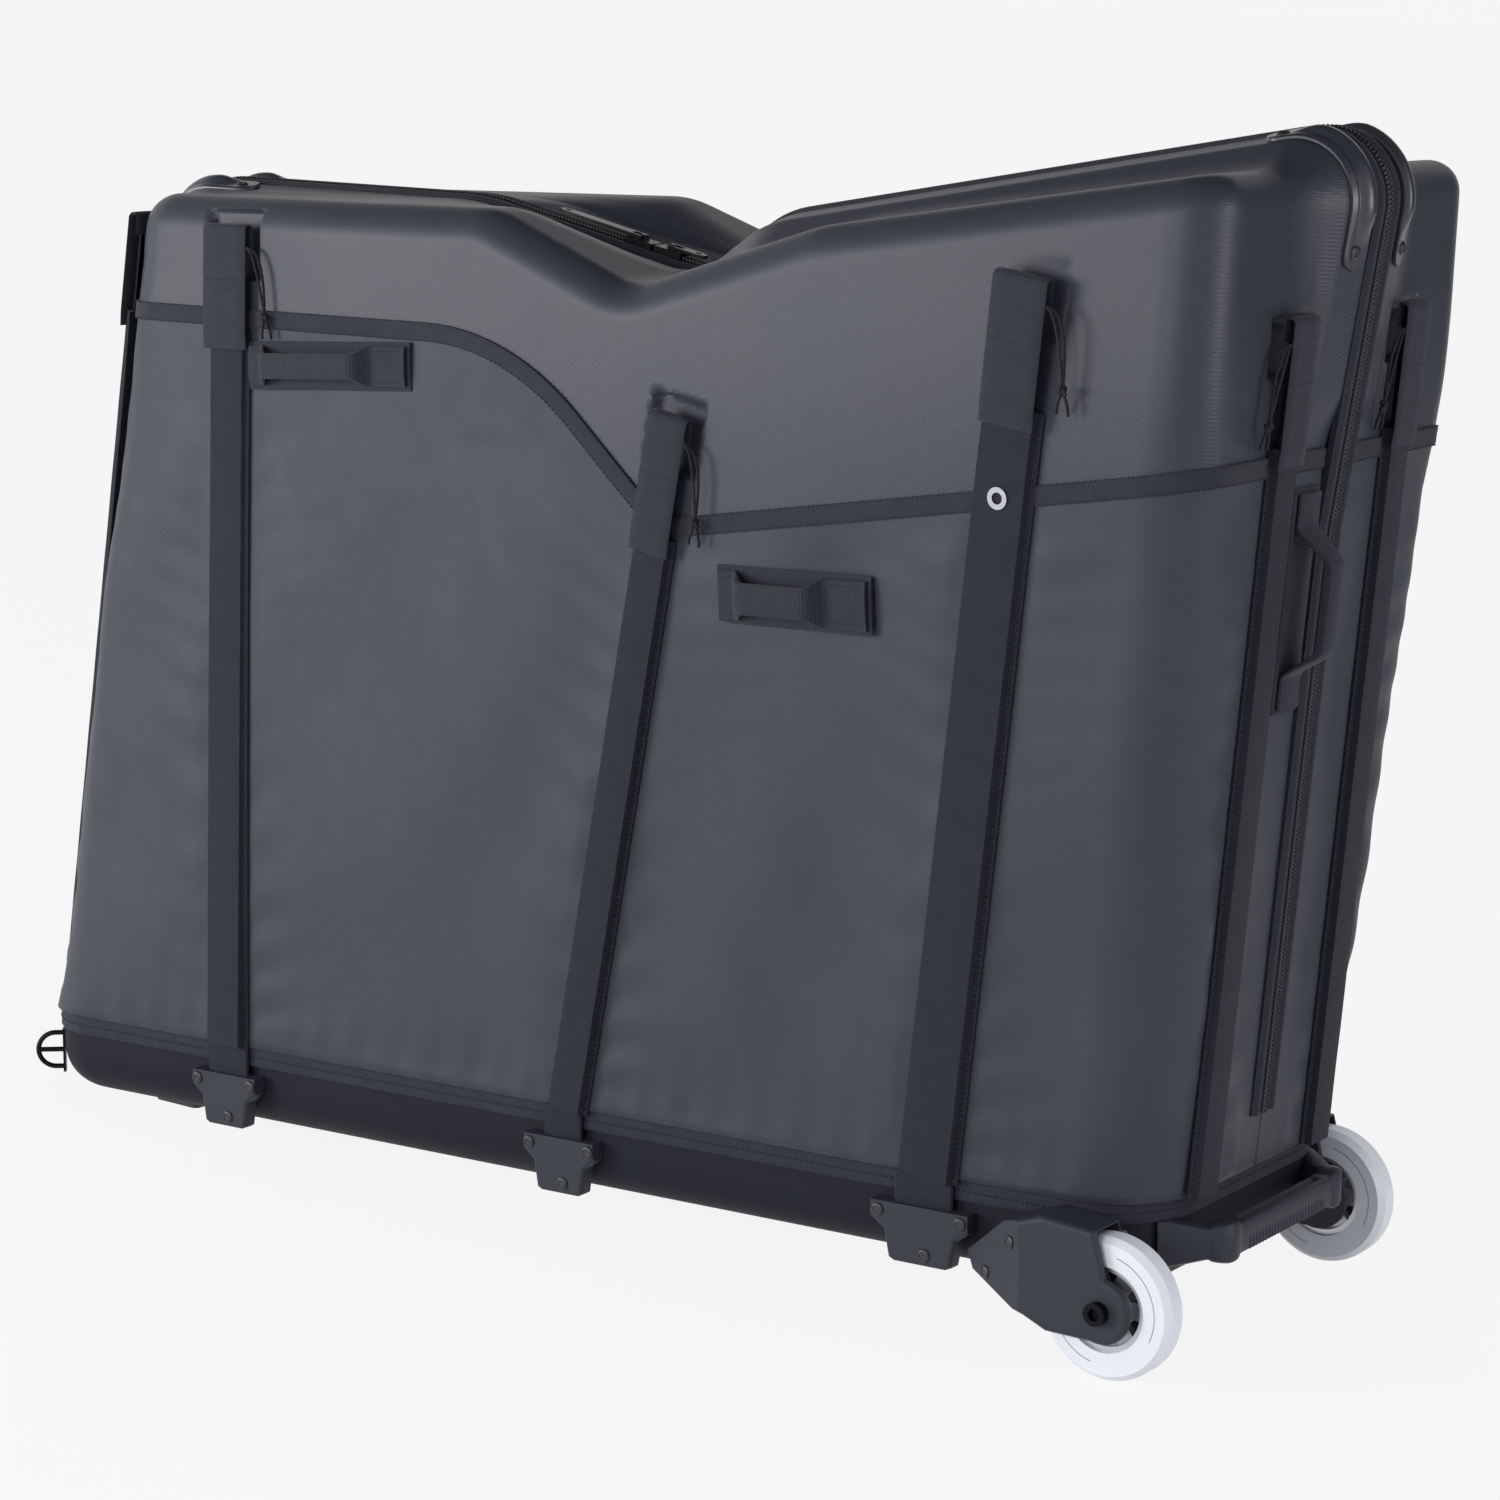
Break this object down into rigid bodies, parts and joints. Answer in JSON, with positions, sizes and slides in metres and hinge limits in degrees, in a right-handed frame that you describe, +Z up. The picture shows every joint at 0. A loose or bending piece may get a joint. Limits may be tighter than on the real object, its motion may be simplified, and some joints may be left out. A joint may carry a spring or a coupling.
{
  "type": "bike travel case",
  "caption": "Wheeled soft-sided travel case for a bicycle, with a moulded upper shell split by a zip, strapped stays, a rigid tray and an inner rail with axle mounts.",
  "frame": {"origin": "on the floor under the middle of the case as it stands on its wheels and front pads", "axes": "+X along the case towards the wheels, -Y the left half, +Z up"},
  "size_m": [1.0949, 0.4046, 0.8336],
  "materials": {
    "white_polyurethane": "semi-gloss cast polyurethane",
    "cast_aluminium": "satin",
    "bearing_steel": "ground",
    "black_steel": "black, satin",
    "moulded_nylon": "fine grained",
    "tray_plastic": "matte",
    "foot_rubber": "matte",
    "polycarbonate": "satin with a fine twill texture",
    "coated_cloth": "coated, semi-matte",
    "lining_cloth": "plain weave",
    "webbing": "ribbed weave",
    "zip_coil": "woven tape with a nylon coil",
    "cord": "braided"
  },
  "bodies": {
    "base": {"base_tray": "tray_plastic", "base_hem": "webbing", "left_wheel_bracket": "moulded_nylon", "right_wheel_bracket": "moulded_nylon", "axle_bolts": "black_steel", "axle_spacers": "bearing_steel", "rear_pull_handle": "moulded_nylon", "front_rings": "black_steel", "left_stay_sockets": "moulded_nylon", "right_stay_sockets": "moulded_nylon", "strap_ends": "webbing", "front_pads": "foot_rubber", "bike_rail": "cast_aluminium", "rail_feet": "cast_aluminium", "rail_screws": "bearing_steel"},
    "left_wheel": {"left_tyre": "white_polyurethane", "left_wheel_core": "cast_aluminium", "left_bearings": "bearing_steel", "left_bearing_spacer": "bearing_steel"},
    "right_wheel": {"right_tyre": "white_polyurethane", "right_wheel_core": "cast_aluminium", "right_bearings": "bearing_steel", "right_bearing_spacer": "bearing_steel"},
    "left_side": {"left_shell": "polycarbonate", "left_cloth_side": "coated_cloth", "left_trim_tape": "webbing", "left_zip": "zip_coil", "left_corner_guards": "moulded_nylon", "left_stay_sleeves": "webbing", "left_stays": "cast_aluminium", "left_stay_flaps": "webbing", "left_pull_cords": "cord", "left_eyelet": "bearing_steel", "left_side_handles": "webbing", "left_wheel_pocket": "lining_cloth", "rear_grab_handle": "webbing"},
    "right_side": {"right_shell": "polycarbonate", "right_cloth_side": "coated_cloth", "right_trim_tape": "webbing", "right_zip": "zip_coil", "right_corner_guards": "moulded_nylon", "right_stay_sleeves": "webbing", "right_stays": "cast_aluminium", "right_stay_flaps": "webbing", "right_pull_cords": "cord", "right_eyelet": "bearing_steel", "right_side_handles": "webbing", "right_wheel_pocket": "lining_cloth"},
    "front_slider": {"front_slider": "black_steel"},
    "front_puller": {"front_puller": "black_steel"},
    "rear_slider": {"rear_slider": "black_steel"},
    "rear_puller": {"rear_puller": "black_steel"},
    "fork_mount": {"fork_mount": "moulded_nylon", "fork_dummy_hub": "bearing_steel"},
    "fork_knob": {"fork_knob": "moulded_nylon"},
    "dropout_mount": {"dropout_mount": "moulded_nylon", "dropout_dummy_hub": "bearing_steel"},
    "dropout_knob": {"dropout_knob": "moulded_nylon"}
  },
  "joints": [
    {"name": "left_wheel_spin", "type": "hinge", "parent": "base", "child": "left_wheel", "pos_m": [0.468, -0.161, 0.05], "axis": [0, 1, 0], "continuous": true},
    {"name": "right_wheel_spin", "type": "hinge", "parent": "base", "child": "right_wheel", "pos_m": [0.468, 0.161, 0.05], "axis": [0, 1, 0], "continuous": true},
    {"name": "left_side_open", "type": "hinge", "parent": "base", "child": "left_side", "pos_m": [0.01566, -0.1559, 0.09168], "axis": [0.999, 0, 0.045], "range_deg": [0, 85]},
    {"name": "right_side_open", "type": "hinge", "parent": "base", "child": "right_side", "pos_m": [0.01566, 0.1559, 0.09168], "axis": [-0.999, 0, -0.045], "range_deg": [0, 85]},
    {"name": "front_slider_run", "type": "slide", "parent": "left_side", "child": "front_slider", "axis": [-0.9814, 0, 0.1922], "range_m": [0, 0.095]},
    {"name": "rear_slider_run", "type": "slide", "parent": "left_side", "child": "rear_slider", "axis": [0.9814, 0, -0.1922], "range_m": [0, 0.01]},
    {"name": "front_puller_lift", "type": "hinge", "parent": "front_slider", "child": "front_puller", "pos_m": [-0.06016, 0, 0.71552], "axis": [0, 1, 0], "range_deg": [0, 110]},
    {"name": "rear_puller_lift", "type": "hinge", "parent": "rear_slider", "child": "rear_puller", "pos_m": [-0.0339, 0, 0.71038], "axis": [0, -1, 0], "range_deg": [0, 80]},
    {"name": "fork_mount_slide", "type": "slide", "parent": "base", "child": "fork_mount", "axis": [0.999, 0, 0.045], "range_m": [-0.15, 0.04]},
    {"name": "dropout_mount_slide", "type": "slide", "parent": "base", "child": "dropout_mount", "axis": [0.999, 0, 0.045], "range_m": [-0.03, 0.2]},
    {"name": "fork_knob_turn", "type": "hinge", "parent": "fork_mount", "child": "fork_knob", "pos_m": [0.34721, 0, 0.06488], "axis": [0, -1, 0], "continuous": true},
    {"name": "dropout_knob_turn", "type": "hinge", "parent": "dropout_mount", "child": "dropout_knob", "pos_m": [-0.41202, 0, 0.03067], "axis": [0, -1, 0], "continuous": true}
  ]
}
